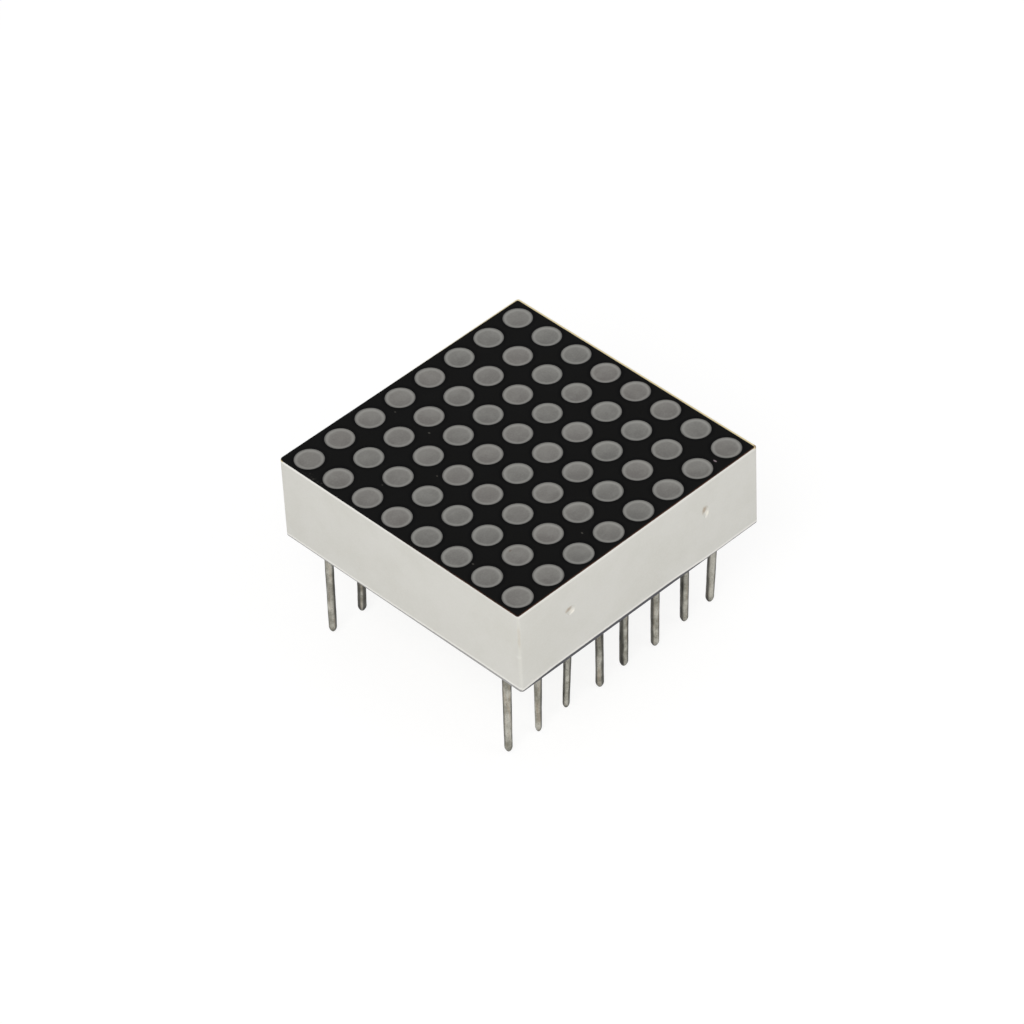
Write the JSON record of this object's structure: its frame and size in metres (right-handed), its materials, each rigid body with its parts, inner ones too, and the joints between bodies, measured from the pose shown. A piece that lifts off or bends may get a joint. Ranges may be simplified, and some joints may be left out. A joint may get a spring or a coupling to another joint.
{
  "type": "led dot matrix display",
  "caption": "Square display block with a grid of round grey dots in a black face, white side walls, and two rows of wire pins below its back.",
  "frame": {"origin": "middle of the pin pattern, on the flat back of the body", "axes": "+X along the two rows of pins, +Z out of the lit face; the pins point to -Z"},
  "size_m": [0.0204, 0.0204, 0.0137],
  "materials": {
    "housing": "moulded white plastic, matt",
    "mask": "black ink, slightly satin",
    "dot_resin": "grey diffusing resin, satin",
    "chip": "bare chip",
    "board": "fibreglass laminate",
    "potting": "cast resin, glossy",
    "pin": "dull tinned wire"
  },
  "bodies": {
    "root": {"housing": "housing", "front_mask": "mask", "dot_row_1": "dot_resin", "dot_row_2": "dot_resin", "dot_row_3": "dot_resin", "dot_row_4": "dot_resin", "dot_row_5": "dot_resin", "dot_row_6": "dot_resin", "dot_row_7": "dot_resin", "dot_row_8": "dot_resin", "led_row_1": "chip", "led_row_2": "chip", "led_row_3": "chip", "led_row_4": "chip", "led_row_5": "chip", "led_row_6": "chip", "led_row_7": "chip", "led_row_8": "chip", "circuit_board": "board", "back_potting": "potting", "pin_01": "pin", "pin_02": "pin", "pin_03": "pin", "pin_04": "pin", "pin_05": "pin", "pin_06": "pin", "pin_07": "pin", "pin_08": "pin", "pin_09": "pin", "pin_10": "pin", "pin_11": "pin", "pin_12": "pin", "pin_13": "pin", "pin_14": "pin", "pin_15": "pin", "pin_16": "pin"}
  },
  "joints": []
}
